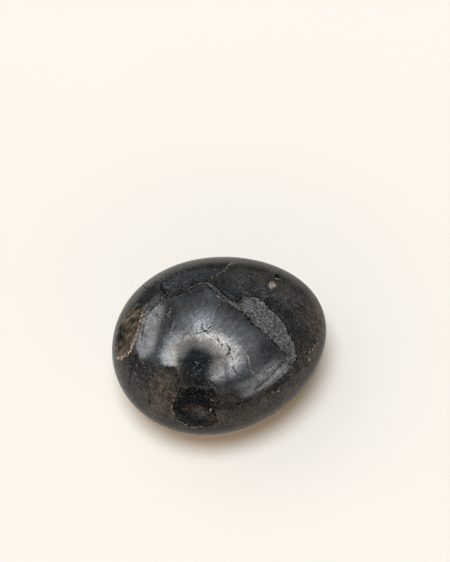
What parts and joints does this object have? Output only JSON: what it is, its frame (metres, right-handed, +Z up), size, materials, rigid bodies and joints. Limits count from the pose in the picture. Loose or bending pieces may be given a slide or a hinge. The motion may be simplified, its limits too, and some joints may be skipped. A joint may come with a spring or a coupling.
{
  "type": "labradorite palm stone",
  "caption": "Hand-sized rounded stone of dark polished labradorite, egg-tapered, resting on a small flat under its belly.",
  "frame": {"origin": "centre of the base of the bounding box, on the surface the stone rests on, under its middle", "axes": "+Z up, the stone's thickness; +X along its length towards the thinner end; +Y across it, away from the dark patch on its front flank"},
  "size_m": [0.0628, 0.0538, 0.0352],
  "materials": {
    "polished_labradorite": "polished, with a blue-grey sheen, a matte grey vein and golden specks"
  },
  "bodies": {
    "root": {"palm_stone": "polished_labradorite"}
  },
  "joints": []
}
